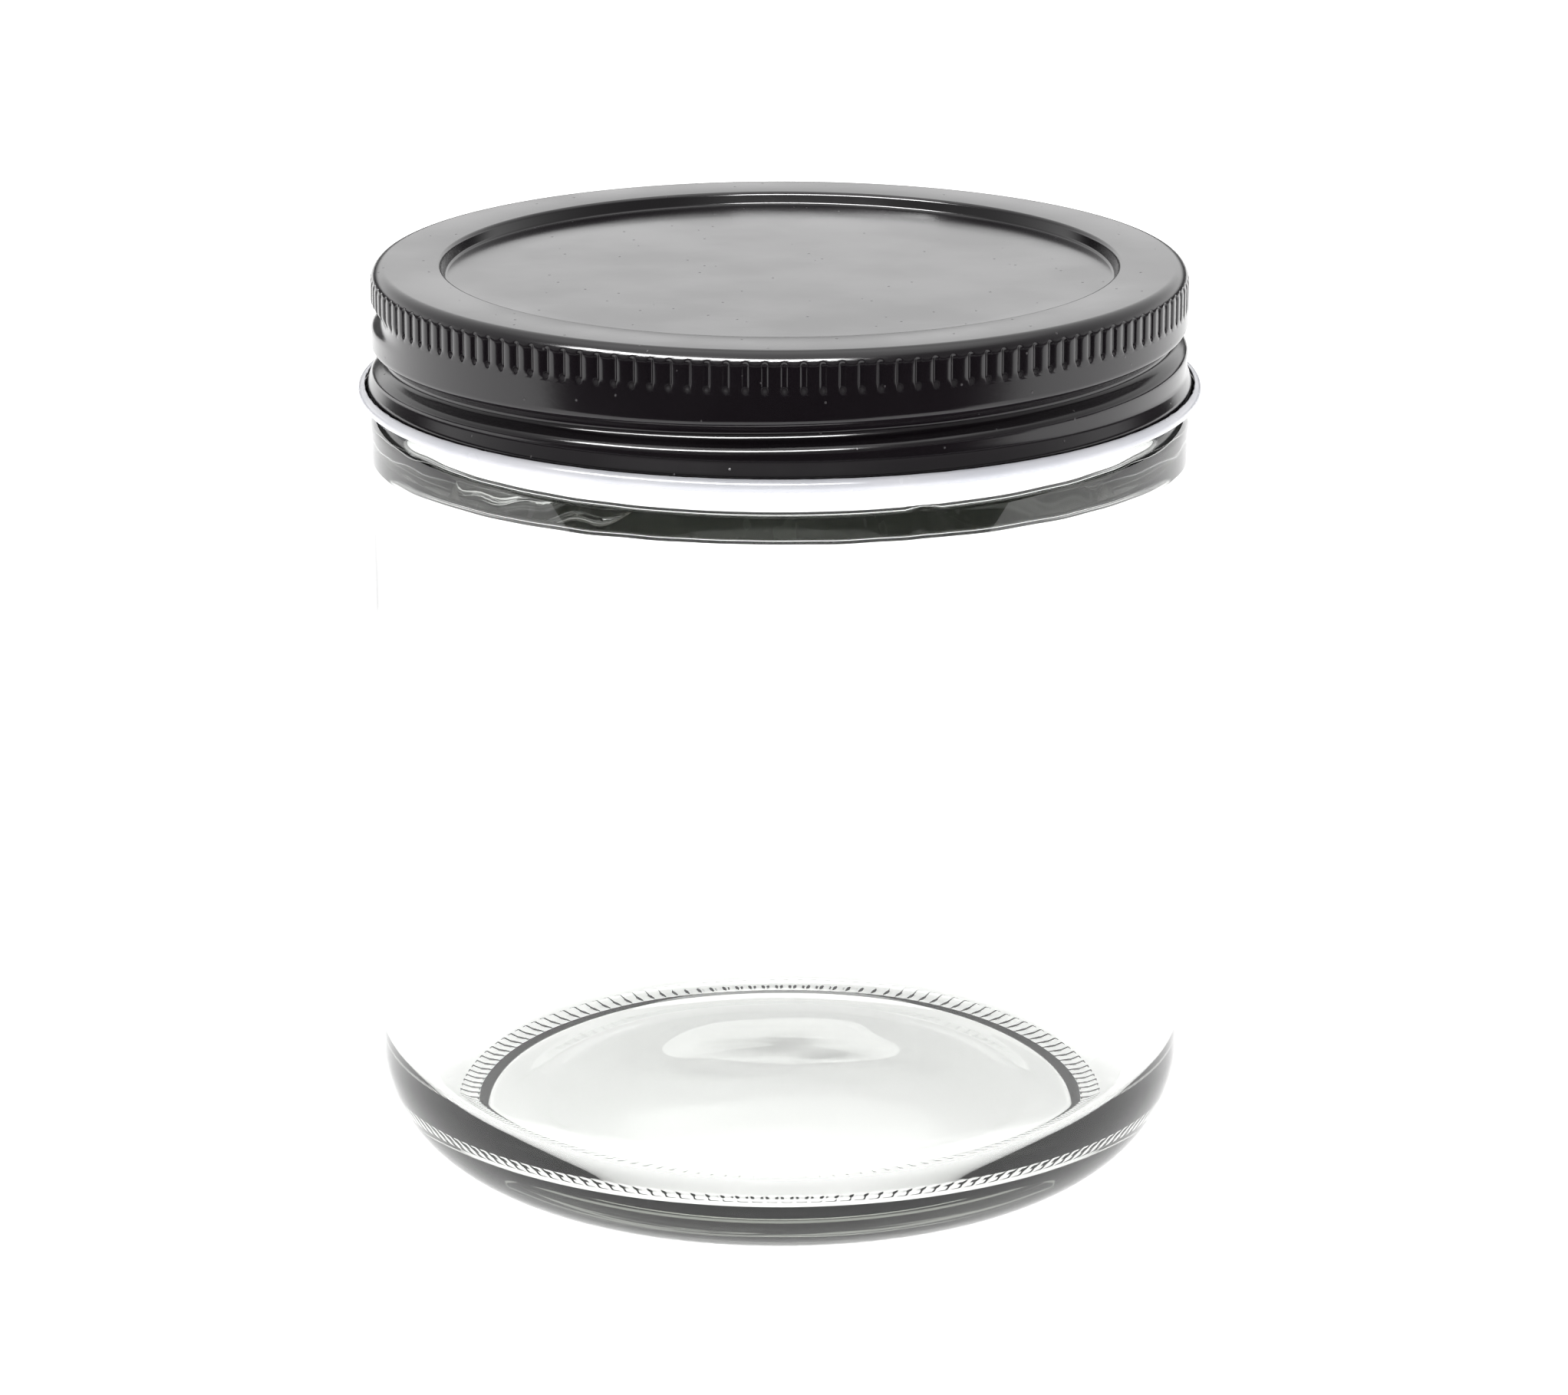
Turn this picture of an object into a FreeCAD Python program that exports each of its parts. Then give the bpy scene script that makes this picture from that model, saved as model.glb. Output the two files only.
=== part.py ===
"""Empty candle jar: a straight-sided clear glass jar with an 89 mm screw lid.

Three pieces: the glass jar, the pressed tinplate lid shell and the sealing ring inside the lid.
Millimetres, +Z up. The origin is the centre of the ring that the jar stands on.
"""

import math
import os

import FreeCAD
import Part

# ---- driving dimensions -------------------------------------------------------------------

# glass body
BODY_RADIUS = 45.75
BODY_WALL = 3.15
HEEL_RADIUS = 13.0
HEEL_CENTRE_Z = 12.25
INNER_HEEL_RADIUS = 8.0
FLOOR_Z = 6.2
FLOOR_DOME_RISE = 0.9
PUSH_UP_RISE = 2.4
PUSH_UP_RADIUS = 28.5
PUSH_UP_EDGE_Z = 1.3
PUSH_UP_FOOT_RADIUS = 34.0
PUSH_UP_FOOT_Z = 0.9
PUSH_UP_FOOT_ROUND = 1.5
STANDING_RING_INNER = 35.2
SHOULDER_START_Z = 85.05
SHOULDER_RADIUS = 2.75

# glass neck, an 89-400 finish
NECK_RADIUS = 43.0
NECK_INNER_RADIUS = 39.5
INNER_SHOULDER_LOW_Z = 80.9
INNER_SHOULDER_LOW_ROUND = 3.0
INNER_SHOULDER_HIGH_Z = 85.5
INNER_SHOULDER_HIGH_ROUND = 3.0
RIM_Z = 101.5
RIM_OUTER_ROUND = 1.2
RIM_INNER_ROUND = 1.5

# thread
PITCH = 25.4 / 5
GLASS_THREAD_RADIUS = 44.45
GLASS_THREAD_ROOT_HALF = 1.3
GLASS_THREAD_CREST_HALF = 0.55
GLASS_THREAD_START = math.radians(-256.0)
GLASS_THREAD_END = math.radians(142.0)
GLASS_THREAD_LIFT = 2.1
GLASS_THREAD_SUNK = 1.6
THREAD_EMBED = 0.8
THREAD_STEP = math.radians(8.0)
RUN_OUT = math.radians(28.0)

# lid shell
SHEET = 0.28
LID_TOP_Z = 102.65
PANEL_Z = 101.2
PANEL_RADIUS = 37.2
PANEL_ROUND = 0.4
RING_INNER_RADIUS = 37.6
RING_ROUND = 0.5
SKIRT_RADIUS = 45.4
LID_SHOULDER_RADIUS = 1.6
FLARE_START_Z = 91.0
FLARE_END_Z = 89.6
FLARE_ROUND = 1.5
CURL_OUTER_RADIUS = 47.05
CURL_BOTTOM_Z = 87.99
CURL_ROLL = 0.71
CURL_EDGE_RADIUS = 46.25

# knurled band of the lid
FLUTE_COUNT = 141
FLUTE_TOP_Z = 101.7
FLUTE_BOTTOM_Z = 98.35
FLUTE_DEPTH = 0.2
FLUTE_RADIUS = 0.45

# thread bead pressed into the lid skirt
BEAD_Z_AT_RIGHT = 94.92
BEAD_START = math.radians(-232.0)
BEAD_END = math.radians(207.0)
BEAD_INNER_RADIUS = 43.25
BEAD_ROOT_HALF = 1.6
BEAD_CREST_HALF = 0.5

# sealing ring
SEAL_INNER_RADIUS = 38.3
SEAL_OUTER_TOP_RADIUS = 43.7
SEAL_OUTER_LOW_RADIUS = 44.2
SEAL_LOW_Z = RIM_Z + 0.05
SEAL_ROUND = 0.25

AXIS = FreeCAD.Vector(0, 0, 1)
ORIGIN = FreeCAD.Vector(0, 0, 0)


# ---- outlines -----------------------------------------------------------------------------


def at(radius, z):
    """A point of an outline, in the XZ plane."""
    return FreeCAD.Vector(radius, 0, z)


def rounded(corners):
    """Edges through corners, each (radius, z, round), with a tangent arc at each rounded one."""
    edges = []
    here = at(*corners[0][:2])
    for i in range(1, len(corners)):
        corner = at(*corners[i][:2])
        round_radius = corners[i][2]
        if i == len(corners) - 1 or round_radius == 0:
            leave, arrive, arc = corner, corner, None
        else:
            back = (at(*corners[i - 1][:2]) - corner).normalize()
            ahead = (at(*corners[i + 1][:2]) - corner).normalize()
            half = back.getAngle(ahead) / 2
            setback = round_radius / math.tan(half)
            leave = corner + back * setback
            arrive = corner + ahead * setback
            middle = (back + ahead).normalize()
            nearest = round_radius / math.sin(half) - round_radius
            arc = Part.Arc(leave, corner + middle * nearest, arrive).toShape()
        if here.distanceToPoint(leave) > 1e-6:
            edges.append(Part.LineSegment(here, leave).toShape())
        if arc:
            edges.append(arc)
        here = arrive
    return edges


def offset_right(corners, distance):
    """The corners moved to the right of the way they run, and their rounds to match."""
    moved = []
    for i, (radius, z, round_radius) in enumerate(corners):
        here = at(radius, z)
        before = at(*corners[max(i - 1, 0)][:2])
        after = at(*corners[min(i + 1, len(corners) - 1)][:2])
        way_in = here - before if i else after - here
        way_out = after - here if i < len(corners) - 1 else here - before
        way_in.normalize()
        way_out.normalize()
        right_in = FreeCAD.Vector(way_in.z, 0, -way_in.x)
        right_out = FreeCAD.Vector(way_out.z, 0, -way_out.x)
        shift = (right_in + right_out) * (distance / (1 + right_in.dot(right_out)))
        turn = way_in.x * way_out.z - way_in.z * way_out.x
        new_round = round_radius + math.copysign(distance, turn) if round_radius else 0
        moved.append((radius + shift.x, z + shift.z, new_round))
    return moved


def dome(edge_radius, edge_z, top_z):
    """The arc of a shallow spherical dome, from its edge up to its top on the Z axis."""
    rise = top_z - edge_z
    sphere_radius = (edge_radius**2 + rise**2) / (2 * rise)
    half_way = math.asin(edge_radius / sphere_radius) / 2
    drop = sphere_radius * (1 - math.cos(half_way))
    middle = at(sphere_radius * math.sin(half_way), top_z - drop)
    return Part.Arc(at(edge_radius, edge_z), middle, at(0, top_z)).toShape()


def turned(edges):
    """The solid that a closed outline sweeps round the Z axis."""
    face = Part.Face(Part.Wire(Part.__sortEdges__(edges)))
    return face.revolve(ORIGIN, AXIS, 360)


# ---- threads ------------------------------------------------------------------------------


def thread_height(angle):
    """The height of the middle of the lid's thread bead where it passes an angle about Z."""
    return BEAD_Z_AT_RIGHT + PITCH * angle / (2 * math.pi)


def ramp(angle, start, end):
    """0 at the ends of a thread and 1 along the whole of its middle."""
    nearest_end = min(angle - start, end - angle)
    share = min(nearest_end / RUN_OUT, 1.0)
    return math.sin(share * math.pi / 2)


def thread_sweep(section, start, end, lift, sunk):
    """A closed section of (radius, z) points swept along the thread.

    The section moves by sunk at the two ends, so that the thread runs out into its wall.
    """
    steps = round((end - start) / THREAD_STEP)
    way = []
    for i in range(steps + 1):
        angle = start + (end - start) * i / steps
        radius = NECK_RADIUS + sunk * (1 - ramp(angle, start, end))
        height = thread_height(angle) + lift
        way.append(FreeCAD.Vector(radius * math.cos(angle), radius * math.sin(angle), height))
    spine = Part.BSplineCurve()
    spine.interpolate(way)
    spine_wire = Part.Wire([spine.toShape()])
    outward = FreeCAD.Vector(math.cos(start), math.sin(start), 0)
    first = way[0]
    points = [first + outward * (radius - NECK_RADIUS) + AXIS * z for radius, z in section]
    profile = Part.makePolygon(points + points[:1])
    sweep = Part.BRepOffsetAPI.MakePipeShell(spine_wire)
    sweep.setBiNormalMode(AXIS)
    sweep.add(profile)
    sweep.build()
    sweep.makeSolid()
    return sweep.shape()


def trapezoid(base_radius, crest_radius, base_half, crest_half):
    """A thread section: wide at its base and narrow at its crest."""
    return [
        (base_radius, -base_half),
        (crest_radius, -crest_half),
        (crest_radius, crest_half),
        (base_radius, base_half),
    ]


def widened(half, slope_run, slope_rise, extra):
    """A half width carried on along the flank's slope by an extra length."""
    return half + extra * slope_run / slope_rise


# ---- pieces -------------------------------------------------------------------------------


def glass_jar():
    """The jar: one closed profile turned round Z, with the neck's thread added."""
    heel_low_radius = BODY_RADIUS - HEEL_RADIUS + math.sqrt(HEEL_RADIUS**2 - HEEL_CENTRE_Z**2)
    heel_centre_radius = BODY_RADIUS - HEEL_RADIUS
    diagonal = math.radians(35)  # any direction on the heel's arc
    heel_middle = at(
        heel_centre_radius + HEEL_RADIUS * math.cos(diagonal),
        HEEL_CENTRE_Z - HEEL_RADIUS * math.sin(diagonal),
    )
    inner_radius = BODY_RADIUS - BODY_WALL
    dome_edge = inner_radius - 1.5 * INNER_HEEL_RADIUS
    dome_top = FLOOR_Z + FLOOR_DOME_RISE
    push_up = dome(PUSH_UP_RADIUS, PUSH_UP_EDGE_Z, PUSH_UP_RISE)
    under = rounded(
        [
            (PUSH_UP_RADIUS, PUSH_UP_EDGE_Z, 0),
            (PUSH_UP_FOOT_RADIUS, PUSH_UP_FOOT_Z, PUSH_UP_FOOT_ROUND),
            (STANDING_RING_INNER, 0, 0),
            (heel_low_radius, 0, 0),
        ]
    )
    heel = Part.Arc(
        at(heel_low_radius, 0),
        heel_middle,
        at(BODY_RADIUS, HEEL_CENTRE_Z),
    )
    outside = rounded(
        [
            (BODY_RADIUS, HEEL_CENTRE_Z, 0),
            (BODY_RADIUS, SHOULDER_START_Z + SHOULDER_RADIUS, SHOULDER_RADIUS - 0.01),
            (NECK_RADIUS, SHOULDER_START_Z + SHOULDER_RADIUS, 0),
            (NECK_RADIUS, RIM_Z, RIM_OUTER_ROUND),
            (NECK_INNER_RADIUS, RIM_Z, RIM_INNER_ROUND),
            (NECK_INNER_RADIUS, INNER_SHOULDER_HIGH_Z, INNER_SHOULDER_HIGH_ROUND),
            (inner_radius, INNER_SHOULDER_LOW_Z, INNER_SHOULDER_LOW_ROUND),
            (inner_radius, FLOOR_Z, INNER_HEEL_RADIUS),
            (dome_edge, FLOOR_Z, 0),
        ]
    )
    floor = dome(dome_edge, FLOOR_Z, dome_top)
    spine = Part.LineSegment(at(0, dome_top), at(0, PUSH_UP_RISE))
    edges = [push_up, *under, heel.toShape(), *outside, floor, spine.toShape()]
    body = turned(edges)
    rise = GLASS_THREAD_RADIUS - NECK_RADIUS
    slope = GLASS_THREAD_ROOT_HALF - GLASS_THREAD_CREST_HALF
    section = trapezoid(
        NECK_RADIUS - THREAD_EMBED,
        GLASS_THREAD_RADIUS,
        widened(GLASS_THREAD_ROOT_HALF, slope, rise, THREAD_EMBED),
        GLASS_THREAD_CREST_HALF,
    )
    thread = thread_sweep(
        section, GLASS_THREAD_START, GLASS_THREAD_END, GLASS_THREAD_LIFT, -GLASS_THREAD_SUNK
    )
    return body.fuse(thread)


def lid_sheet_corners():
    """Corners of the sheet's black side, from the centre of its top to the curl's cut edge."""
    roll_inside = CURL_ROLL - SHEET
    roll_low = CURL_BOTTOM_Z + SHEET
    roll_high = roll_low + 2 * roll_inside
    roll_left = CURL_OUTER_RADIUS - SHEET - 2 * roll_inside
    roll_right = CURL_OUTER_RADIUS - SHEET
    return [
        (0, PANEL_Z, 0),
        (PANEL_RADIUS, PANEL_Z, PANEL_ROUND),
        (RING_INNER_RADIUS, LID_TOP_Z, RING_ROUND),
        (SKIRT_RADIUS, LID_TOP_Z, LID_SHOULDER_RADIUS),
        (SKIRT_RADIUS, FLARE_START_Z, FLARE_ROUND),
        (roll_left, FLARE_END_Z, FLARE_ROUND),
        (roll_left, roll_low, roll_inside),
        (roll_right, roll_low, roll_inside),
        (roll_right, roll_high, roll_inside),
        (CURL_EDGE_RADIUS, roll_high, 0),
    ]


def flutes():
    """The upright dents of the knurled band, as one tool to cut with."""
    centre = SKIRT_RADIUS - FLUTE_DEPTH + FLUTE_RADIUS
    dents = []
    for i in range(FLUTE_COUNT):
        angle = 2 * math.pi * i / FLUTE_COUNT
        foot = FreeCAD.Vector(
            centre * math.cos(angle), centre * math.sin(angle), FLUTE_BOTTOM_Z
        )
        dents.append(Part.makeCylinder(FLUTE_RADIUS, FLUTE_TOP_Z - FLUTE_BOTTOM_Z, foot, AXIS))
    return Part.makeCompound(dents)


def lid_shell():
    """The pressed tinplate lid, with its knurled band, thread bead and outward curl."""
    black_side = lid_sheet_corners()
    white_side = offset_right(black_side, SHEET)
    ends = [
        Part.LineSegment(at(*black_side[0][:2]), at(*white_side[0][:2])).toShape(),
        Part.LineSegment(at(*black_side[-1][:2]), at(*white_side[-1][:2])).toShape(),
    ]
    shell = turned(rounded(black_side) + rounded(white_side) + ends)
    rise = SKIRT_RADIUS - SHEET - BEAD_INNER_RADIUS
    slope = BEAD_ROOT_HALF - BEAD_CREST_HALF
    sunk = rise + SHEET / 2
    bead_section = trapezoid(
        SKIRT_RADIUS - SHEET / 2,
        BEAD_INNER_RADIUS,
        widened(BEAD_ROOT_HALF, slope, rise, SHEET / 2),
        BEAD_CREST_HALF,
    )
    outside = CURL_OUTER_RADIUS + SHEET
    groove_section = trapezoid(
        outside,
        BEAD_INNER_RADIUS + SHEET,
        widened(BEAD_ROOT_HALF - SHEET, slope, rise, outside - SKIRT_RADIUS + SHEET),
        BEAD_CREST_HALF - SHEET / 2,
    )
    bead = thread_sweep(bead_section, BEAD_START, BEAD_END, 0, sunk)
    groove = thread_sweep(groove_section, BEAD_START, BEAD_END, 0, sunk)
    keep = Part.makeCylinder(SKIRT_RADIUS - SHEET / 2, LID_TOP_Z)
    shell = shell.fuse(bead.common(keep))
    return shell.cut(groove).cut(flutes())


def lid_gasket():
    """The sealing ring that lies in the lid's channel, just above the jar's rim."""
    top = LID_TOP_Z - SHEET
    edges = rounded(
        [
            (SEAL_INNER_RADIUS, top, 0),
            (SEAL_OUTER_TOP_RADIUS, top, 0),
            (SEAL_OUTER_LOW_RADIUS, SEAL_LOW_Z, SEAL_ROUND),
            (SEAL_INNER_RADIUS, SEAL_LOW_Z, SEAL_ROUND),
            (SEAL_INNER_RADIUS, top, 0),
        ]
    )
    return turned(edges)


# ---- output -------------------------------------------------------------------------------


def main():
    os.makedirs("parts", exist_ok=True)
    pieces = {"glass_jar": glass_jar(), "lid_shell": lid_shell(), "lid_gasket": lid_gasket()}
    for name, shape in pieces.items():
        box = shape.BoundBox
        solids = len(shape.Solids)
        print(f"{name}: valid {shape.isValid()}, solids {solids}, volume {shape.Volume:.1f} mm3")
        print(f"  radius {box.XMax:.2f}, z {box.ZMin:.2f} to {box.ZMax:.2f}")
        shape.exportStep(f"parts/{name}.step")


main()
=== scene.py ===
"""Looks of the empty candle jar: clear glass, a black screw lid with a white hem, and its seal.

Lengths are written in millimetres and scaled once, where the meshes are made.
"""

import math
import random

import bpy
import numpy as np
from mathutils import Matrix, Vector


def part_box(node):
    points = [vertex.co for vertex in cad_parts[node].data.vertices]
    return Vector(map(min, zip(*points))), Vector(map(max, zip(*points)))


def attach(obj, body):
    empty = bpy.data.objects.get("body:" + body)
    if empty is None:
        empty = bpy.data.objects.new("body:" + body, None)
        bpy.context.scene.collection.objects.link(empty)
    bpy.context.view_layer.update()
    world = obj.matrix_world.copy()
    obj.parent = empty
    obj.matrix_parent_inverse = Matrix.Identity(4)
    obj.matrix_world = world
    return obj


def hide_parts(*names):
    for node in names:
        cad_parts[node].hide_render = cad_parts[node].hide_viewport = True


MM = 0.001
TURN = 2 * math.pi

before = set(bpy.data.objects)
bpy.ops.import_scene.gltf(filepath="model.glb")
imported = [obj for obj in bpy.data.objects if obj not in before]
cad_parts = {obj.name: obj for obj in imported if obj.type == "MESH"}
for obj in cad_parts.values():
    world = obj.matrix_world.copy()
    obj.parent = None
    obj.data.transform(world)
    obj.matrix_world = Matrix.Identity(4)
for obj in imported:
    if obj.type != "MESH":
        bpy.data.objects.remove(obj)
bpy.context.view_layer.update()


def node_radius(node):
    """The outer radius of a round node, in millimetres."""
    low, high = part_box(node)
    return (high[0] - low[0]) / 2 / MM


def node_levels(node):
    """The lowest and highest level of a node, in millimetres."""
    low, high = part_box(node)
    return low[2] / MM, high[2] / MM


# ---- sizes taken from the frame -----------------------------------------------------------

BODY_R = node_radius("glass_jar")
RIM_Z = node_levels("glass_jar")[1]
CURL_BOTTOM_Z, LID_TOP_Z = node_levels("lid_shell")
CURL_R = node_radius("lid_shell")
SEAL_LOW_Z, SEAL_TOP_Z = node_levels("lid_gasket")
SEAL_OUTER_R = node_radius("lid_gasket")

# ---- glass, millimetres -------------------------------------------------------------------

WALL = 3.15
HEEL_R = 13.0
HEEL_Z = 12.25
INNER_HEEL_R = 8.0
FLOOR_Z = 6.2
FLOOR_DOME = 0.9
PUSH_UP_Z = 2.1
PUSH_UP_FOOT_R = 34.0
PUSH_UP_FOOT_Z = 0.9
PUSH_UP_RING_R = 28.5
PUSH_UP_RING_RISE = 0.1
PUSH_UP_STEPS = 34
STAND_INNER_R = 35.2
SHOULDER_Z = 85.05
SHOULDER_R = 2.75
NECK_R = 43.0
NECK_INNER_R = 39.5
INNER_SHOULDER_LOW_Z = 81.4
INNER_SHOULDER_HIGH_Z = 85.5
STIPPLES = 140
STIPPLE_DEPTH = 0.25
STIPPLE_OUTER_R = 38.8
GLASS_STEPS = 2 * STIPPLES
STIPPLE_STEPS = 8 * STIPPLES
FLOOR_REACH_Z = 10
THREAD_RING_GAP = 0.35
SEAM_RING_GAP = 0.4
STAND_RING_GAP = 0.3
WALL_RING_GAP = 4.0
THREAD_LEVELS = (91, 100.4)

# Waves of the inside: depth, the seed, fewest, most and count of the sines, and where they fade.
SHOULDER_WAVE = 0.05
SHOULDER_SINES = (3, 6, 40, 12)
SHOULDER_FADE = (79, 88, 1.5)
WALL_WAVE = 0.05
WALL_SINES = (8, 2, 9, 6)
WALL_FADE = (12, 80, 10)
WALL_TWIST = 0.01
FLOOR_WAVE = 0.04
FLOOR_SINES = (12, 2, 6, 5)
FLOOR_FADE = (2, 31, 8)
FLOOR_TWIST = 0.05

SEAM_ANGLE = math.radians(-70.3)
SEAM_NOTCH = 0.16
SEAM_LEVELS = (83.4, 85.4)

# ---- thread shared by the neck and the lid, millimetres ------------------------------------

PITCH = 25.4 / 5
THREAD_Z = 94.9
THREAD_DEPTH = 1.6
GLASS_THREAD_HEIGHT = 1.42
GLASS_THREAD_HALF = 1.35
GLASS_THREAD_LIFT = 2.1
GLASS_THREAD_SPAN = (math.radians(-256), math.radians(142))
GLASS_THREAD_FLAT = 0.45
LID_THREAD_HALF = 1.6
LID_THREAD_FLAT = 0.15
LID_THREAD_SPAN = (math.radians(-232), math.radians(207))
RUN_OUT = math.radians(26)

# ---- lid, millimetres ---------------------------------------------------------------------

SHEET = 0.28
PANEL_Z = LID_TOP_Z - 1.45
PANEL_R = 37.2
RING_R = 37.6
SKIRT_R = 45.4
PANEL_ROUND = 0.4
RING_ROUND = 0.5
FLARE_ROUND = 1.5
LID_SHOULDER_R = 1.6
SKIRT_TOP_Z = 99.5
KNURL_RING_GAP = 0.34
SKIRT_RING_GAP = 0.28
LONGEST_RING_GAP = 6.0
FLARE_Z = 91.0
FLARE_END_Z = 89.6
ROLL_R = 0.71
FLUTES = 141
FLUTE_LOW_Z = 98.35
FLUTE_TOP_Z = 101.75
FLUTE_DEPTH = 0.24
FLUTE_HALF = 0.2
FLUTE_END_ROUND = 0.45
FLUTE_END_RISE = 0.35
FLUTE_BLUNTNESS = 2.4
FLUTE_SHARE_INSIDE = 0.6
FINE = (0, 0.06, 0.11, 0.16, 0.22, 0.5, 0.78, 0.84, 0.89, 0.94)
CUT_EDGE_BURR = 0.07
BURR_SINES = (5, 60, 140, 24)
# Radii where the painted shade inside the lid fades out to the white of the curl.
INSIDE_SHADE_R = (45.85, 46.05)

# ---- seal, millimetres --------------------------------------------------------------------

SEAL_INNER_R = 38.3
SEAL_TOP_R = 43.7
SEAL_ROUND = 0.25
SEAL_STEPS = 240
SEAL_RING_GAP = 0.4
SEAT_R = 41.2
SEAT_HALF = 0.9
SEAT_DEPTH = 0.12


# ---- outlines -----------------------------------------------------------------------------


def rounded(corners, step=0.12):
    """Dense points along corners of (radius, z, round), with a tangent arc at each round.

    step is about how far apart the points of an arc lie, in millimetres.
    """
    points = [np.array(corners[0][:2], float)]
    for i in range(1, len(corners)):
        corner = np.array(corners[i][:2], float)
        size = corners[i][2] if i < len(corners) - 1 else 0
        if not size:
            points.append(corner)
            continue
        back = np.array(corners[i - 1][:2], float) - corner
        ahead = np.array(corners[i + 1][:2], float) - corner
        back /= np.linalg.norm(back)
        ahead /= np.linalg.norm(ahead)
        half = math.acos(np.clip(back @ ahead, -1, 1)) / 2
        middle = (back + ahead) / np.linalg.norm(back + ahead)
        centre = corner + middle * size / math.sin(half)
        sweep = math.pi - 2 * half
        start = corner + back * size / math.tan(half) - centre
        turn = -np.sign(back[0] * ahead[1] - back[1] * ahead[0])
        count = max(3, math.ceil(size * sweep / step))
        for k in range(count + 1):
            a = turn * sweep * k / count
            c, s = math.cos(a), math.sin(a)
            points.append(centre + np.array([start[0] * c - start[1] * s, start[0] * s + start[1] * c]))
    kept = [points[0]]
    for p in points[1:]:
        if np.linalg.norm(p - kept[-1]) > 1e-4:
            kept.append(p)
    return kept


def divided(points, longest, low=-1e9, high=1e9, least_radius=0):
    """The points with more put in wherever a run between these levels is longer than longest."""
    out = [points[0]]
    for a, b in zip(points, points[1:]):
        inside = low <= (a[1] + b[1]) / 2 <= high and min(a[0], b[0]) >= least_radius
        count = max(1, math.ceil(np.linalg.norm(b - a) / longest)) if inside else 1
        out += [a + (b - a) * k / count for k in range(1, count + 1)]
    return out


def right_of(points):
    """The unit normal on the right of the way the points run, at each point."""
    p = np.array(points)
    way = np.gradient(p, axis=0)
    way /= np.linalg.norm(way, axis=1)[:, None]
    return np.stack([way[:, 1], -way[:, 0]], 1)


# ---- smooth noise that repeats round the axis ----------------------------------------------


def waves(seed, lowest, highest, count):
    """A function of the angle about Z: a sum of seeded sine waves, between -1 and 1 or so."""
    rng = random.Random(seed)
    parts = []
    for _ in range(count):
        parts.append((rng.randint(lowest, highest), rng.uniform(0, TURN), rng.uniform(0.4, 1)))
    scale = 1 / math.sqrt(sum(w * w for _, _, w in parts) / 2) / 2

    def value(angle):
        return scale * sum(w * np.sin(n * angle + p) for n, p, w in parts)

    return value


def soft_step(x):
    """0 below 0, 1 above 1, and a smooth rise between."""
    x = np.clip(x, 0, 1)
    return x * x * (3 - 2 * x)


# ---- meshes made of rings -----------------------------------------------------------------


class Skin:
    """A mesh built ring by ring round the Z axis. Rings may have different numbers of points."""

    def __init__(self):
        self.points = []
        self.faces = []
        self.face_slots = []

    def ring(self, xyz):
        start = len(self.points)
        self.points.extend(map(tuple, xyz))
        return list(range(start, start + len(xyz)))

    def face(self, corners, slot):
        self.faces.append(corners)
        self.face_slots.append(slot)

    def bridge(self, a, b, slot=0):
        """Faces between ring a and the next ring b. One may be a single point, or denser."""
        if len(a) == 1:
            for i in range(len(b)):
                self.face((a[0], b[i], b[i - 1]), slot)
        elif len(b) == 1:
            for i in range(len(a)):
                self.face((b[0], a[i - 1], a[i]), slot)
        elif len(a) == len(b):
            for i in range(len(a)):
                self.face((a[i], b[i], b[i - 1], a[i - 1]), slot)
        elif len(a) < len(b):
            self.fan(a, b, slot, True)
        else:
            self.fan(b, a, slot, False)

    def fan(self, few, many, slot, flip):
        ratio = len(many) // len(few)
        half = ratio // 2
        for i in range(len(few)):
            p, q = few[i], few[(i + 1) % len(few)]
            m = [many[(i * ratio + k) % len(many)] for k in range(ratio + 1)]
            tris = [(p, m[k], m[k + 1]) for k in range(half)]
            tris.append((p, m[half], q))
            tris += [(q, m[k], m[k + 1]) for k in range(half, ratio)]
            for t in tris:
                self.face(t[::-1] if flip else t, slot)

    def build(self, name, materials):
        mesh = bpy.data.meshes.new(name)
        mesh.from_pydata([(x * MM, y * MM, z * MM) for x, y, z in self.points], [], self.faces)
        for material in materials:
            mesh.materials.append(material)
        mesh.polygons.foreach_set("material_index", self.face_slots)
        mesh.polygons.foreach_set("use_smooth", [True] * len(self.faces))
        mesh.update()
        obj = bpy.data.objects.new(name, mesh)
        bpy.context.scene.collection.objects.link(obj)
        return obj


def around(radius, z, angles):
    """Points at these radii and levels, each a number or one value for each angle."""
    radius = np.broadcast_to(radius, angles.shape)
    z = np.broadcast_to(z, angles.shape)
    return np.stack([radius * np.cos(angles), radius * np.sin(angles), z], 1)


# ---- the thread ---------------------------------------------------------------------------


def thread_shape(angles, z, span, lift, half, flat):
    """How far up its flank, 0 to 1, the thread is at each angle and level."""
    best = np.zeros(np.broadcast(angles, z).shape)
    for turn in (-2, -1, 0, 1, 2):
        along = angles + turn * TURN
        end = np.minimum(along - span[0], span[1] - along)
        ramp = soft_step(end / RUN_OUT)
        middle = THREAD_Z + lift + PITCH * along / TURN
        flank = soft_step((half - np.abs(z - middle)) / (half - flat))
        best = np.maximum(best, np.where(end > 0, flank * ramp, 0))
    return best


# ---- glass jar ----------------------------------------------------------------------------


def dome(edge_r, edge_z, top_z, count):
    """Points of a shallow spherical dome, from its edge to its top on the axis."""
    rise = top_z - edge_z
    sphere = (edge_r**2 + rise**2) / (2 * rise)
    sweep = math.asin(edge_r / sphere)
    angles = [sweep * (1 - k / count) for k in range(count + 1)]
    return [np.array([sphere * math.sin(a), top_z - sphere * (1 - math.cos(a))]) for a in angles]


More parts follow.
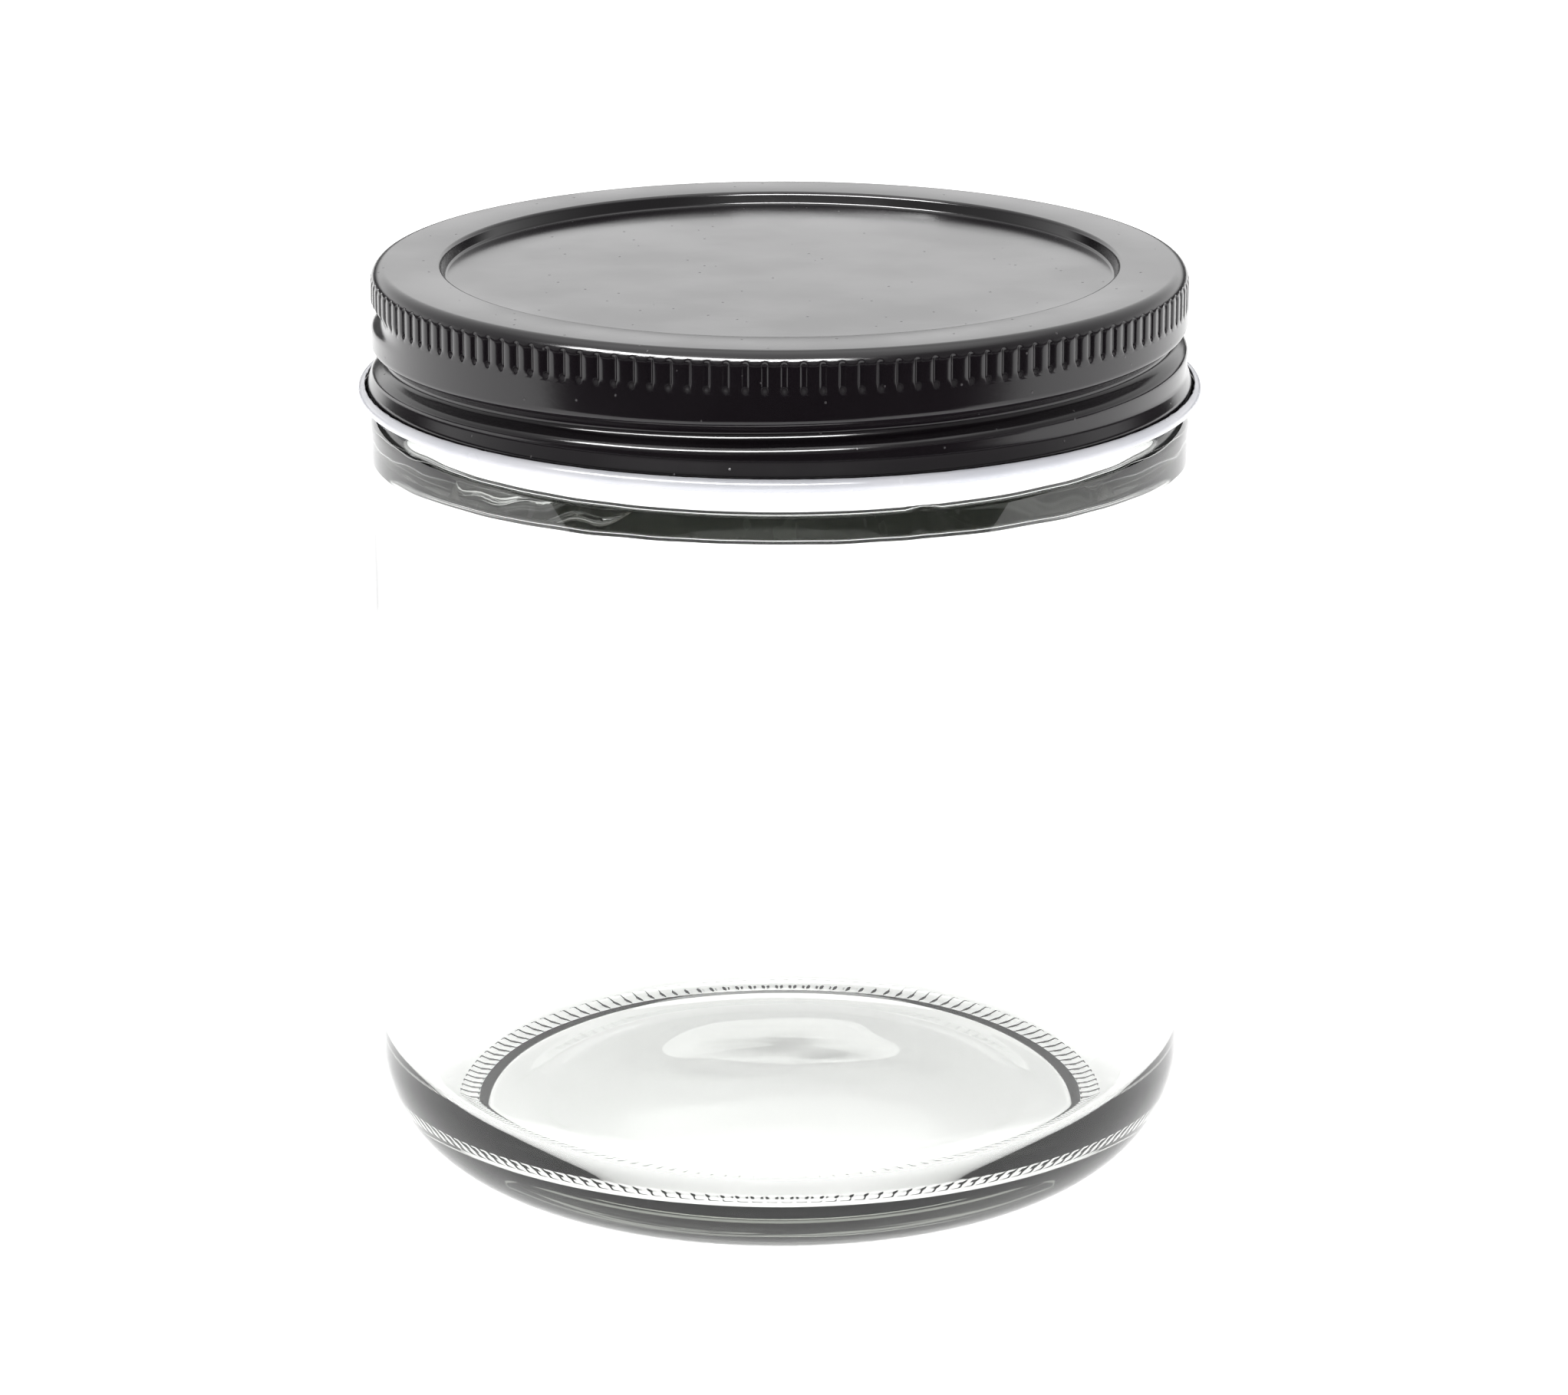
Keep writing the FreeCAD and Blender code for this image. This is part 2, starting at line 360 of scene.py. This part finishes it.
def glass_outer():
    """The outside of the glass, from the middle of the base up to the top of the rim."""
    stand_outer = BODY_R - HEEL_R + math.sqrt(HEEL_R**2 - HEEL_Z**2)
    push_up = []
    for k in range(PUSH_UP_STEPS):
        radius = PUSH_UP_FOOT_R * k / PUSH_UP_STEPS
        crown = 0.5 + 0.5 * math.cos(math.pi * radius / PUSH_UP_FOOT_R)
        ring = PUSH_UP_RING_RISE * math.exp(-((radius - PUSH_UP_RING_R) ** 2))
        push_up.append(np.array([radius, PUSH_UP_FOOT_Z + (PUSH_UP_Z - PUSH_UP_FOOT_Z) * crown + ring]))
    under = rounded(
        [
            (PUSH_UP_FOOT_R, PUSH_UP_FOOT_Z, 0),
            (STAND_INNER_R, 0, 0.3),
            (stand_outer, 0, 0),
        ]
    )
    first = math.atan2(-HEEL_Z, stand_outer - BODY_R + HEEL_R)
    heel = []
    for k in range(1, 25):
        a = first * (1 - k / 24)
        heel.append(np.array([BODY_R - HEEL_R + HEEL_R * math.cos(a), HEEL_Z + HEEL_R * math.sin(a)]))
    wall = rounded(
        [
            (BODY_R, HEEL_Z, 0),
            (BODY_R, SHOULDER_Z + SHOULDER_R, SHOULDER_R - 0.01),
            (NECK_R, SHOULDER_Z + SHOULDER_R, 0),
            (NECK_R, RIM_Z, 1.2),
            ((NECK_R + NECK_INNER_R) / 2, RIM_Z, 0),
        ],
        0.3,
    )
    return push_up + under + heel + wall[1:]


def glass_inner():
    """The inside of the glass, from the top of the rim down to the middle of the floor."""
    inner_r = BODY_R - WALL
    edge_r = inner_r - 1.5 * INNER_HEEL_R
    wall = rounded(
        [
            ((NECK_R + NECK_INNER_R) / 2, RIM_Z, 0),
            (NECK_INNER_R, RIM_Z, 1.5),
            (NECK_INNER_R, INNER_SHOULDER_HIGH_Z, 3.0),
            (inner_r, INNER_SHOULDER_LOW_Z, 3.0),
            (inner_r, FLOOR_Z, INNER_HEEL_R),
            (edge_r, FLOOR_Z, 0),
        ],
        0.3,
    )
    return wall + dome(edge_r, FLOOR_Z, FLOOR_Z + FLOOR_DOME, 24)[1:]


def window(value, low, high, edge):
    """1 between low and high, falling to 0 at them over a width of edge."""
    return float(soft_step((value - low) / edge) * soft_step((high - value) / edge))


def glass_jar(material):
    """One closed glass skin: the outside with its thread and stippling, the inside with its waves."""
    angles = np.arange(GLASS_STEPS) * TURN / GLASS_STEPS
    fine_angles = np.arange(STIPPLE_STEPS) * TURN / STIPPLE_STEPS
    stipple = soft_step(0.9 - 0.9 * np.cos(STIPPLES * fine_angles))
    ripple = waves(*SHOULDER_SINES)
    swell = waves(*WALL_SINES)
    swirl = waves(*FLOOR_SINES)
    from_seam = np.abs((angles - SEAM_ANGLE + math.pi) % TURN - math.pi)
    seam = np.where(from_seam < 0.6 * TURN / GLASS_STEPS, SEAM_NOTCH, 0)
    skin = Skin()
    outer = divided(glass_outer(), THREAD_RING_GAP, *THREAD_LEVELS)
    outer = divided(outer, SEAM_RING_GAP, SEAM_LEVELS[0] - 0.6, SEAM_LEVELS[1])
    outer = divided(outer, STAND_RING_GAP, -1, 0.8, STAND_INNER_R - 0.2)
    outer = divided(outer, WALL_RING_GAP)
    inner = divided(glass_inner(), WALL_RING_GAP)
    rings = [skin.ring([(0, 0, outer[0][1])])]
    for radius, z in outer[1:]:
        if z < 1 and STAND_INNER_R - 0.2 < radius < STIPPLE_OUTER_R:
            dent = STIPPLE_DEPTH * window(radius, STAND_INNER_R, STIPPLE_OUTER_R, 0.4)
            rings.append(skin.ring(around(radius, z + dent * stipple, fine_angles)))
            continue
        grow = 0
        if 90 < z < RIM_Z - 1:
            sizes = (GLASS_THREAD_LIFT, GLASS_THREAD_HALF, GLASS_THREAD_FLAT)
            grow = GLASS_THREAD_HEIGHT * thread_shape(angles, z, GLASS_THREAD_SPAN, *sizes)
        if SEAM_LEVELS[0] < z < SEAM_LEVELS[1]:
            grow = -seam
        rings.append(skin.ring(around(radius + grow, z, angles)))
    for radius, z in inner[1:-1]:
        shoulder = window(z, *SHOULDER_FADE) * SHOULDER_WAVE * ripple(angles)
        wall = window(z, *WALL_FADE) * WALL_WAVE * swell(angles + WALL_TWIST * z)
        base = window(radius, *FLOOR_FADE) if z < FLOOR_REACH_Z else 0
        base_wave = base * FLOOR_WAVE * swirl(angles + FLOOR_TWIST * radius)
        rings.append(skin.ring(around(radius + wall, z + shoulder + base_wave, angles)))
    rings.append(skin.ring([(0, 0, inner[-1][1])]))
    for a, b in zip(rings, rings[1:]):
        skin.bridge(a, b)
    return skin.build("jar_glass", [material])


# ---- lid ----------------------------------------------------------------------------------


def lid_outline():
    """The black side of the sheet, from the middle of the top to the cut edge of the curl."""
    inside = ROLL_R - SHEET
    low = CURL_BOTTOM_Z + SHEET
    high = low + 2 * inside
    left = CURL_R - SHEET - 2 * inside
    right = CURL_R - SHEET
    return [
        (0, PANEL_Z, 0),
        (PANEL_R, PANEL_Z, PANEL_ROUND),
        (RING_R, LID_TOP_Z, RING_ROUND),
        (SKIRT_R, LID_TOP_Z, LID_SHOULDER_R),
        (SKIRT_R, FLARE_Z, FLARE_ROUND),
        (left, FLARE_END_Z, FLARE_ROUND),
        (left, low, inside),
        (right, low, inside),
        (right, high, inside),
        (CURL_R - ROLL_R - 0.1, high, 0),
    ]


def flute_dent(share, z, depth, half):
    """How deep the knurl's dents are, at each share of a dent's pitch and at a level."""
    off = np.minimum(share, 1 - share)
    ends = min(FLUTE_TOP_Z - z, z - FLUTE_LOW_Z)
    room = np.clip(ends / FLUTE_END_ROUND, 0, 1)
    reach = math.sqrt(1 - (1 - room) ** 2) if ends > 0 else 0
    across = np.clip(off / (half * max(reach, 1e-3)), 0, 1)
    if ends <= 0:
        return 0 * off
    return depth * min(1, ends / FLUTE_END_RISE) * (1 - across**FLUTE_BLUNTNESS)


def lid_shell(black, white, edge):
    """The lid's closed sheet: black side, cut edge and white side."""
    coarse_share = np.tile([0, 0.5], FLUTES)
    fine_share = np.tile(FINE, FLUTES)
    coarse = (np.repeat(np.arange(FLUTES), 2) + coarse_share) * TURN / FLUTES
    fine = (np.repeat(np.arange(FLUTES), len(FINE)) + fine_share) * TURN / FLUTES
    outline = rounded(lid_outline())
    outline = divided(outline, KNURL_RING_GAP, FLUTE_LOW_Z - 0.3, FLUTE_TOP_Z + 0.2, SKIRT_R - 2)
    outline = divided(outline, SKIRT_RING_GAP, FLARE_Z, FLUTE_LOW_Z)
    outline = divided(outline, LONGEST_RING_GAP)
    burr = waves(*BURR_SINES)(coarse)
    normals = right_of(outline)
    skin = Skin()
    black_rings = [skin.ring([(0, 0, outline[0][1])])]
    white_rings = [skin.ring([(0, 0, outline[0][1] - SHEET)])]
    last = len(outline) - 1
    for i in range(1, len(outline)):
        radius, z = outline[i]
        off_r, off_z = normals[i] * SHEET
        knurled = FLUTE_LOW_Z - 0.1 < z < FLUTE_TOP_Z + 0.1 and radius > SKIRT_R - LID_SHOULDER_R
        skirt = radius > SKIRT_R - 0.05 and FLARE_END_Z < z < SKIRT_TOP_Z
        angles = fine if knurled else coarse
        share = fine_share if knurled else coarse_share
        dent = flute_dent(share, z, FLUTE_DEPTH, FLUTE_HALF) if knurled else 0
        dent_in = 0
        if knurled:
            dent_in = FLUTE_SHARE_INSIDE * flute_dent(share, z, FLUTE_DEPTH, 2 * FLUTE_HALF)
        groove = groove_in = 0
        if skirt:
            inner_half = LID_THREAD_HALF + LID_THREAD_FLAT
            outside = thread_shape(angles, z, LID_THREAD_SPAN, 0, LID_THREAD_HALF, LID_THREAD_FLAT)
            inside = thread_shape(angles, z, LID_THREAD_SPAN, 0, inner_half, 2 * LID_THREAD_FLAT)
            groove = THREAD_DEPTH * outside
            groove_in = THREAD_DEPTH * inside
        rough = CUT_EDGE_BURR * burr if i == last else 0
        black_rings.append(skin.ring(around(radius - dent - groove + rough, z, angles)))
        white_radius = radius + off_r - dent_in - groove_in + rough
        white_rings.append(skin.ring(around(white_radius, z + off_z, angles)))
    for a, b in zip(black_rings, black_rings[1:]):
        skin.bridge(b, a, 0)
    for a, b in zip(white_rings, white_rings[1:]):
        skin.bridge(a, b, 1)
    skin.bridge(white_rings[-1], black_rings[-1], 2)
    return skin.build("lid_sheet", [black, white, edge])


def lid_gasket(material):
    """The sealing ring, with the shallow seat that the rim has pressed in it."""
    angles = np.arange(SEAL_STEPS) * TURN / SEAL_STEPS
    outline = rounded(
        [
            (SEAL_INNER_R, SEAL_TOP_Z, 0),
            (SEAL_TOP_R, SEAL_TOP_Z, 0),
            (SEAL_OUTER_R, SEAL_LOW_Z, SEAL_ROUND),
            (SEAL_INNER_R, SEAL_LOW_Z, SEAL_ROUND),
            (SEAL_INNER_R, SEAL_TOP_Z, 0),
        ]
    )
    outline = divided(outline, SEAL_RING_GAP)[:-1]
    skin = Skin()
    rings = []
    for radius, z in outline:
        seat = 0
        if z < SEAL_LOW_Z + 0.05:
            seat = SEAT_DEPTH * math.exp(-(((radius - SEAT_R) / SEAT_HALF) ** 2))
        rings.append(skin.ring(around(radius, z + seat, angles)))
    for a, b in zip(rings, rings[1:] + rings[:1]):
        skin.bridge(b, a)
    return skin.build("seal_ring", [material])


# ---- materials ----------------------------------------------------------------------------


class Nodes:
    """Short calls for the nodes of one material or world."""

    def __init__(self, owner):
        owner.use_nodes = True
        self.owner = owner
        self.tree = owner.node_tree
        self.place = self.add("ShaderNodeTexCoord")

    def add(self, kind, **settings):
        node = self.tree.nodes.new(kind)
        for key, value in settings.items():
            setattr(node, key, value)
        return node

    def join(self, source, target):
        self.tree.links.new(source, target)

    def math(self, operation, a, b):
        node = self.add("ShaderNodeMath", operation=operation)
        for socket, value in zip(node.inputs, (a, b)):
            if isinstance(value, (int, float)):
                socket.default_value = value
            else:
                self.join(value, socket)
        return node.outputs[0]

    def noise(self, per_metre, detail=2.0, squeeze=(1, 1, 1)):
        """Noise with this many blobs in a metre. squeeze stretches it along an axis."""
        mapping = self.add("ShaderNodeMapping")
        mapping.inputs["Scale"].default_value = squeeze
        self.join(self.place.outputs["Object"], mapping.inputs["Vector"])
        node = self.add("ShaderNodeTexNoise")
        node.inputs["Scale"].default_value = per_metre
        node.inputs["Detail"].default_value = detail
        self.join(mapping.outputs["Vector"], node.inputs["Vector"])
        return node.outputs["Fac"]

    def specks(self, per_metre, size):
        """1 in small round specks, this many in a metre, and 0 elsewhere."""
        node = self.add("ShaderNodeTexVoronoi")
        node.inputs["Scale"].default_value = per_metre
        self.join(self.place.outputs["Object"], node.inputs["Vector"])
        return self.span(node.outputs["Distance"], size, 0.6 * size, 0, 1)

    def span(self, value, low, high, to_low, to_high):
        node = self.add("ShaderNodeMapRange", interpolation_type="SMOOTHSTEP")
        ends = {"From Min": low, "From Max": high, "To Min": to_low, "To Max": to_high}
        for name, number in ends.items():
            node.inputs[name].default_value = number
        self.join(value, node.inputs["Value"])
        return node.outputs["Result"]

    def shades(self, value, first, second):
        """A colour between two, by a value from 0 to 1."""
        node = self.add("ShaderNodeMix", data_type="RGBA")
        colours = [socket for socket in node.inputs if socket.type == "RGBA"]
        colours[0].default_value = (*first, 1)
        colours[1].default_value = (*second, 1)
        self.join(value, node.inputs[0])
        return next(socket for socket in node.outputs if socket.type == "RGBA")

    def blend(self, value, first, second):
        """A colour between two worked-out ones, by a value from 0 to 1."""
        node = self.add("ShaderNodeMix", data_type="RGBA")
        colours = [socket for socket in node.inputs if socket.type == "RGBA"]
        self.join(first, colours[0])
        self.join(second, colours[1])
        self.join(value, node.inputs[0])
        return next(socket for socket in node.outputs if socket.type == "RGBA")

    def bump(self, height, depth, under=None):
        """A bump of this depth in metres, over another bump if there is one."""
        node = self.add("ShaderNodeBump")
        node.inputs["Distance"].default_value = depth
        self.join(height, node.inputs["Height"])
        if under:
            self.join(under, node.inputs["Normal"])
        return node.outputs["Normal"]


def finish_material(nodes, colour, roughness=None, normal=None, **sockets):
    """Join the worked-out colour, roughness and bump to the shader, and set its other sockets."""
    shader = nodes.tree.nodes["Principled BSDF"]
    for key, value in sockets.items():
        shader.inputs[key.replace("_", " ")].default_value = value
    for socket, source in (("Base Color", colour), ("Roughness", roughness), ("Normal", normal)):
        if source:
            nodes.join(source, shader.inputs[socket])
    return nodes.owner


def new_nodes(name):
    return Nodes(bpy.data.materials.new(name))


GLASS_TINT = (0.5, 0.52, 0.47, 1)
GLASS_DENSITY = 26.0


def clear_glass():
    """Flint glass, tinted in depth, with the slight waviness of a pressed, fire-polished wall."""
    nodes = new_nodes("clear_glass")
    normal = nodes.bump(nodes.noise(60, 1.0, (1, 1, 0.35)), 1e-5)
    roughness = nodes.span(nodes.noise(180, 3.0), 0.45, 0.75, 0.0, 0.006)
    tint = nodes.shades(nodes.noise(25, 1.0), (0.99, 1.0, 0.99), (1.0, 1.0, 1.0))
    depths = nodes.add("ShaderNodeVolumeAbsorption")
    depths.inputs["Color"].default_value = GLASS_TINT
    depths.inputs["Density"].default_value = GLASS_DENSITY
    nodes.join(depths.outputs["Volume"], nodes.tree.nodes["Material Output"].inputs["Volume"])
    return finish_material(nodes, tint, roughness, normal, IOR=1.52, Transmission_Weight=1.0)


def black_lacquer():
    """Satin black lacquer with a faint orange peel and specks of dust."""
    nodes = new_nodes("black_lacquer")
    peel = nodes.noise(1100, 2.0)
    cloud = nodes.noise(70, 3.0)
    dust = nodes.specks(420, 0.07)
    specked = nodes.math("MULTIPLY", dust, 0.2)
    colour = nodes.shades(specked, (0.0075, 0.0055, 0.0075), (0.2, 0.19, 0.2))
    satin = nodes.span(cloud, 0.3, 0.7, 0.14, 0.19)
    roughness = nodes.math("ADD", satin, nodes.math("MULTIPLY", dust, 0.2))
    normal = nodes.bump(dust, 1.2e-5, nodes.bump(peel, 2.5e-6))
    return finish_material(nodes, colour, roughness, normal, IOR=1.5)


def white_lacquer():
    """Gloss white lacquer on the curl; inside the lid the white side is painted dark grey as painted
    shade.
    """
    nodes = new_nodes("white_lacquer")
    cloud = nodes.noise(90, 3.0)
    parts = nodes.add("ShaderNodeSeparateXYZ")
    nodes.join(nodes.place.outputs["Object"], parts.inputs[0])
    across = nodes.math("POWER", parts.outputs["X"], 2)
    along = nodes.math("POWER", parts.outputs["Y"], 2)
    from_axis = nodes.math("POWER", nodes.math("ADD", across, along), 0.5)
    # Painted shade: inside the skirt the white side is painted dark grey for the shade inside the lid,
    # fading to the curl's white between these radii.
    inside_shade_mask = nodes.span(from_axis, INSIDE_SHADE_R[0] * MM, INSIDE_SHADE_R[1] * MM, 1, 0)
    curl_white = nodes.shades(nodes.span(cloud, 0.3, 0.7, 0, 1), (0.66, 0.67, 0.72), (0.76, 0.76, 0.8))
    painted_inside_shade = nodes.shades(nodes.span(cloud, 0.3, 0.7, 0, 1), (0.1, 0.104, 0.09), (0.135, 0.14, 0.125))
    colour = nodes.blend(inside_shade_mask, curl_white, painted_inside_shade)
    roughness = nodes.span(nodes.noise(300, 2.0), 0.3, 0.7, 0.16, 0.28)
    normal = nodes.bump(nodes.noise(900, 2.0), 3e-6)
    return finish_material(nodes, colour, roughness, normal, IOR=1.5)


def cut_edge():
    """The sheared edge of the sheet: burred, part bare tin and part smeared lacquer."""
    nodes = new_nodes("cut_edge")
    burr = nodes.noise(1600, 3.0)
    colour = nodes.shades(nodes.span(burr, 0.4, 0.6, 0, 1), (0.42, 0.42, 0.45), (0.85, 0.85, 0.88))
    roughness = nodes.span(burr, 0.3, 0.7, 0.35, 0.6)
    normal = nodes.bump(burr, 3e-5)
    return finish_material(nodes, colour, roughness, normal, Metallic=0.35)


def plastisol():
    """Flowed-in sealing compound: off-white, soft, faintly pitted."""
    nodes = new_nodes("plastisol")
    cloud = nodes.noise(120, 3.0)
    colour = nodes.shades(nodes.span(cloud, 0.3, 0.7, 0, 1), (0.68, 0.65, 0.59), (0.78, 0.76, 0.71))
    roughness = nodes.span(nodes.noise(500, 2.0), 0.3, 0.7, 0.38, 0.55)
    normal = nodes.bump(nodes.noise(1400, 2.0), 8e-6)
    return finish_material(nodes, colour, roughness, normal, IOR=1.48)


jar = glass_jar(clear_glass())
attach(jar, "jar")
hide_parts("glass_jar")
lid = lid_shell(black_lacquer(), white_lacquer(), cut_edge())
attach(lid, "lid")
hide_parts("lid_shell")
seal = lid_gasket(plastisol())
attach(seal, "seal")
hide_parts("lid_gasket")


# ---- stage, metres --------------------------------------------------------------------------

FLOOR_HALF = 3.0
FLAG_Z = 0.0004
FLAG_FRONT_Y = -1.6
FLAG_BACK_Y = -0.2
FLAG_HALF_X = 1.3
STRIP_DISTANCE = 1.1
STRIP_RISE = (math.radians(41), math.radians(53))
STRIP_SWEEP = (math.radians(-160), math.radians(-70))
STRIP_STEPS = 24
STRIP_LIGHT = 45.0
LOW_BAND = (0.1, 0.16)
GLASS_BAND_RISE = 0.3
FRONT_LIGHT = 0.5
BACK_LIGHT = 1.7
SIDE_SPAN = (-0.6, 0.9)
FADE_SPAN = (0.12, 0.45)
FADE_LEAST = 0.6
TOP_SPAN = (0.7, 0.95)
TOP_LIGHT = 1.2
TABLE_LIGHT = 0.85
BAND_LIGHT = 0.03


def stage_mesh(name, points, faces, material):
    """A piece of the stage, in metres."""
    mesh = bpy.data.meshes.new(name)
    mesh.from_pydata(points, [], faces)
    mesh.materials.append(material)
    obj = bpy.data.objects.new(name, mesh)
    bpy.context.scene.collection.objects.link(obj)
    return obj


def sheet(name, x, front_y, back_y, z, material):
    """A level rectangle centred on x = 0."""
    corners = [(-x, front_y, z), (x, front_y, z), (x, back_y, z), (-x, back_y, z)]
    return stage_mesh(name, corners, [(0, 1, 2, 3)], material)


def seen_only_in_gloss(obj):
    """Leave a stage piece out of everything but mirror reflections."""
    obj.visible_camera = False
    obj.visible_diffuse = False
    obj.visible_transmission = False
    obj.visible_shadow = False


def floor_paint():
    """Pale paint that also gives off light, as a light table does."""
    nodes = new_nodes("floor_paint")
    cloud = nodes.noise(3, 2.0)
    colour = nodes.shades(cloud, (0.88, 0.88, 0.88), (0.9, 0.9, 0.9))
    roughness = nodes.span(cloud, 0.3, 0.7, 0.7, 0.8)
    glow = {"Emission_Color": (1, 1, 1, 1), "Emission_Strength": TABLE_LIGHT}
    return finish_material(nodes, colour, roughness, Specular_IOR_Level=0.2, **glow)


def black_felt():
    """Felt that darkens the mirror reflections from in front of the jar."""
    nodes = new_nodes("black_felt")
    colour = nodes.shades(nodes.noise(40, 2.0), (0.004, 0.004, 0.004), (0.008, 0.008, 0.008))
    return finish_material(nodes, colour, Specular_IOR_Level=0.0)


def lamp_face():
    """The lit face of the strip lamp."""
    nodes = new_nodes("lamp_face")
    return finish_material(
        nodes, nodes.shades(nodes.noise(5), (0, 0, 0), (0, 0, 0)),
        Emission_Color=(1, 1, 1, 1), Emission_Strength=STRIP_LIGHT,
    )


def strip_lamp():
    """A curved strip of light in front of the jar, high up and a little to the left."""
    points = []
    for k in range(STRIP_STEPS + 1):
        a = STRIP_SWEEP[0] + (STRIP_SWEEP[1] - STRIP_SWEEP[0]) * k / STRIP_STEPS
        for rise in STRIP_RISE:
            level = STRIP_DISTANCE * math.sin(rise)
            reach = STRIP_DISTANCE * math.cos(rise)
            points.append((reach * math.cos(a), reach * math.sin(a), level))
    faces = [(2 * k, 2 * k + 1, 2 * k + 3, 2 * k + 2) for k in range(STRIP_STEPS)]
    lamp = stage_mesh("strip_lamp", points, faces, lamp_face())
    lamp.visible_camera = False
    lamp.visible_diffuse = False
    lamp.visible_transmission = False


def studio_world():
    """Soft light all round, bright behind and dim in front, with a dark band along the horizon.

    The band stands higher for rays that have been through glass, and higher again for those that
    have also been mirrored more than once. Straight from the camera, the world is plain white.
    """
    world = bpy.data.worlds.new("studio")
    bpy.context.scene.world = world
    nodes = Nodes(world)
    parts = nodes.add("ShaderNodeSeparateXYZ")
    nodes.join(nodes.place.outputs["Generated"], parts.inputs[0])
    path = nodes.add("ShaderNodeLightPath").outputs
    in_glass = nodes.math("MINIMUM", path["Transmission Depth"], 1)
    many = nodes.math("GREATER_THAN", path["Glossy Depth"], 1.5)
    bands = nodes.math("ADD", many, 1)
    lift = nodes.math("MULTIPLY", nodes.math("MULTIPLY", bands, in_glass), GLASS_BAND_RISE)
    above = nodes.span(nodes.math("SUBTRACT", parts.outputs["Z"], lift), *LOW_BAND, 0, 1)
    side = nodes.span(parts.outputs["Y"], *SIDE_SPAN, FRONT_LIGHT, BACK_LIGHT)
    fade = nodes.span(parts.outputs["Z"], *FADE_SPAN, 1, FADE_LEAST)
    side = nodes.math("MULTIPLY", side, fade)
    top = nodes.span(parts.outputs["Z"], *TOP_SPAN, 0, TOP_LIGHT)
    soft = nodes.math("ADD", nodes.math("ADD", nodes.math("MULTIPLY", above, side), top), BAND_LIGHT)
    seen = path["Is Camera Ray"]
    strength = nodes.math("MAXIMUM", soft, seen)
    background = world.node_tree.nodes["Background"]
    background.inputs["Color"].default_value = (1, 1, 1, 1)
    nodes.join(strength, background.inputs["Strength"])


sheet("floor", FLOOR_HALF, -FLOOR_HALF, FLOOR_HALF, 0, floor_paint())
flag = sheet("front_flag", FLAG_HALF_X, FLAG_FRONT_Y, FLAG_BACK_Y, FLAG_Z, black_felt())
seen_only_in_gloss(flag)
strip_lamp()
studio_world()

CAMERA_PLACE = (0.00048, -0.6079, 0.2343)
CAMERA_PITCH = math.radians(16.70)
CAMERA_LENS = 128.24
camera_data = bpy.data.cameras.new("camera")
camera_data.lens = CAMERA_LENS
camera_data.clip_start = 0.05
camera = bpy.data.objects.new("camera", camera_data)
bpy.context.scene.collection.objects.link(camera)
camera.location = CAMERA_PLACE
camera.rotation_euler = (math.pi / 2 - CAMERA_PITCH, 0, 0)
bpy.context.scene.camera = camera
bpy.context.scene.view_settings.view_transform = "Standard"
